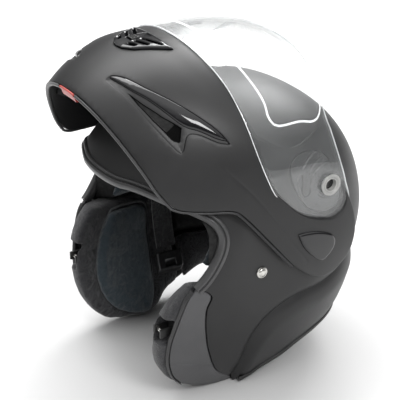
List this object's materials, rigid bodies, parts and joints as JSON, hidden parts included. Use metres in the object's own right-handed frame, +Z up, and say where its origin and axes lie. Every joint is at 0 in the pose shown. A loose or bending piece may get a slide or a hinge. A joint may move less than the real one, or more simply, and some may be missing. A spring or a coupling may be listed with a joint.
{
  "type": "open face motorcycle helmet",
  "caption": "Matte black flip-up motorcycle helmet: padded shell open at the face, chin bar with a clear visor raised over the crown on side hinges.",
  "frame": {"origin": "on the floor plane under the middle of the helmet's box, with the chin bar raised", "axes": "+Z up, the face looks along -Y, +X is the wearer's left"},
  "size_m": [0.263, 0.2904, 0.3251],
  "materials": {
    "shell_black": "matte",
    "jaw_grey": "matte",
    "gloss_black": "gloss",
    "black_plastic": "matte",
    "mechanism_grey": "satin",
    "edging_grey": "satin",
    "rubber": "matte",
    "foam": "matte",
    "mesh_fabric": "matte",
    "soft_cloth": "matte",
    "webbing": "matte",
    "steel": "polished",
    "red": "gloss",
    "clear": "gloss"
  },
  "bodies": {
    "shell": {"outer_shell": "shell_black", "foam_liner": "foam", "crown_liner": "soft_cloth", "brow_pad": "mesh_fabric", "neck_roll": "mesh_fabric", "port_trim": "rubber", "rim_trim": "rubber", "temple_pad_left": "soft_cloth", "temple_pad_right": "soft_cloth", "cheek_pad_left": "mesh_fabric", "cheek_pad_right": "mesh_fabric", "cheek_face_left": "soft_cloth", "cheek_face_right": "soft_cloth", "jaw_plate_left": "jaw_grey", "jaw_plate_right": "jaw_grey", "jaw_edging_left": "edging_grey", "jaw_edging_right": "edging_grey", "striker_bracket_left": "black_plastic", "striker_bracket_right": "black_plastic", "striker_pin_left": "steel", "striker_pin_right": "steel", "hinge_base_left": "black_plastic", "hinge_base_right": "black_plastic", "hinge_pin_left": "steel", "hinge_pin_right": "steel", "strap_rivet_left": "steel", "strap_rivet_right": "steel", "chin_strap_left": "webbing", "chin_strap_right": "webbing", "buckle_socket": "black_plastic", "buckle_tongue": "steel"},
    "chin_bar_body": {"chin_bar": "shell_black", "chin_pad": "foam", "port_seal": "rubber", "chin_vent": "gloss_black", "chin_trim_left": "edging_grey", "chin_trim_right": "edging_grey", "side_vent_blade_left": "gloss_black", "side_vent_blade_right": "gloss_black", "hinge_cap_left": "gloss_black", "hinge_cap_right": "gloss_black", "mechanism_plate_left": "mechanism_grey", "mechanism_plate_right": "mechanism_grey", "visor_hub_left": "mechanism_grey", "visor_hub_right": "mechanism_grey", "latch_fork_left": "steel", "latch_fork_right": "steel"},
    "visor_body": {"visor": "clear"},
    "latch_lever_body": {"latch_lever": "red"},
    "vent_slider_body": {"vent_slider": "gloss_black"},
    "quick_lever_left_body": {"quick_lever_left": "black_plastic"},
    "quick_lever_right_body": {"quick_lever_right": "black_plastic"}
  },
  "joints": [
    {"name": "chin_bar_lift", "type": "hinge", "parent": "shell", "child": "chin_bar_body", "pos_m": [0, 0.0389, 0.142], "axis": [1, 0, 0], "range_deg": [0, 68]},
    {"name": "visor_lift", "type": "hinge", "parent": "chin_bar_body", "child": "visor_body", "pos_m": [0, 0.05002, 0.20258], "axis": [-1, 0, 0], "range_deg": [0, 45]},
    {"name": "latch_lever_pull", "type": "slide", "parent": "chin_bar_body", "child": "latch_lever_body", "axis": [0, -0.9272, -0.3746], "range_m": [0, 0.005], "stiffness_N_per_m": 400, "springref_m": -0.002},
    {"name": "vent_slider_slide", "type": "slide", "parent": "chin_bar_body", "child": "vent_slider_body", "axis": [0, 0.995, 0.1], "range_m": [0, 0.01]},
    {"name": "quick_lever_left_turn", "type": "hinge", "parent": "chin_bar_body", "child": "quick_lever_left_body", "pos_m": [0.1216, 0.02644, 0.19952], "axis": [1, 0, 0], "range_deg": [0, 14], "stiffness_Nm_per_rad": 0.02, "springref_deg": -5.73},
    {"name": "quick_lever_right_turn", "type": "hinge", "parent": "chin_bar_body", "child": "quick_lever_right_body", "pos_m": [-0.1216, 0.02644, 0.19952], "axis": [1, 0, 0], "range_deg": [0, 14], "stiffness_Nm_per_rad": 0.02, "springref_deg": -5.73}
  ]
}
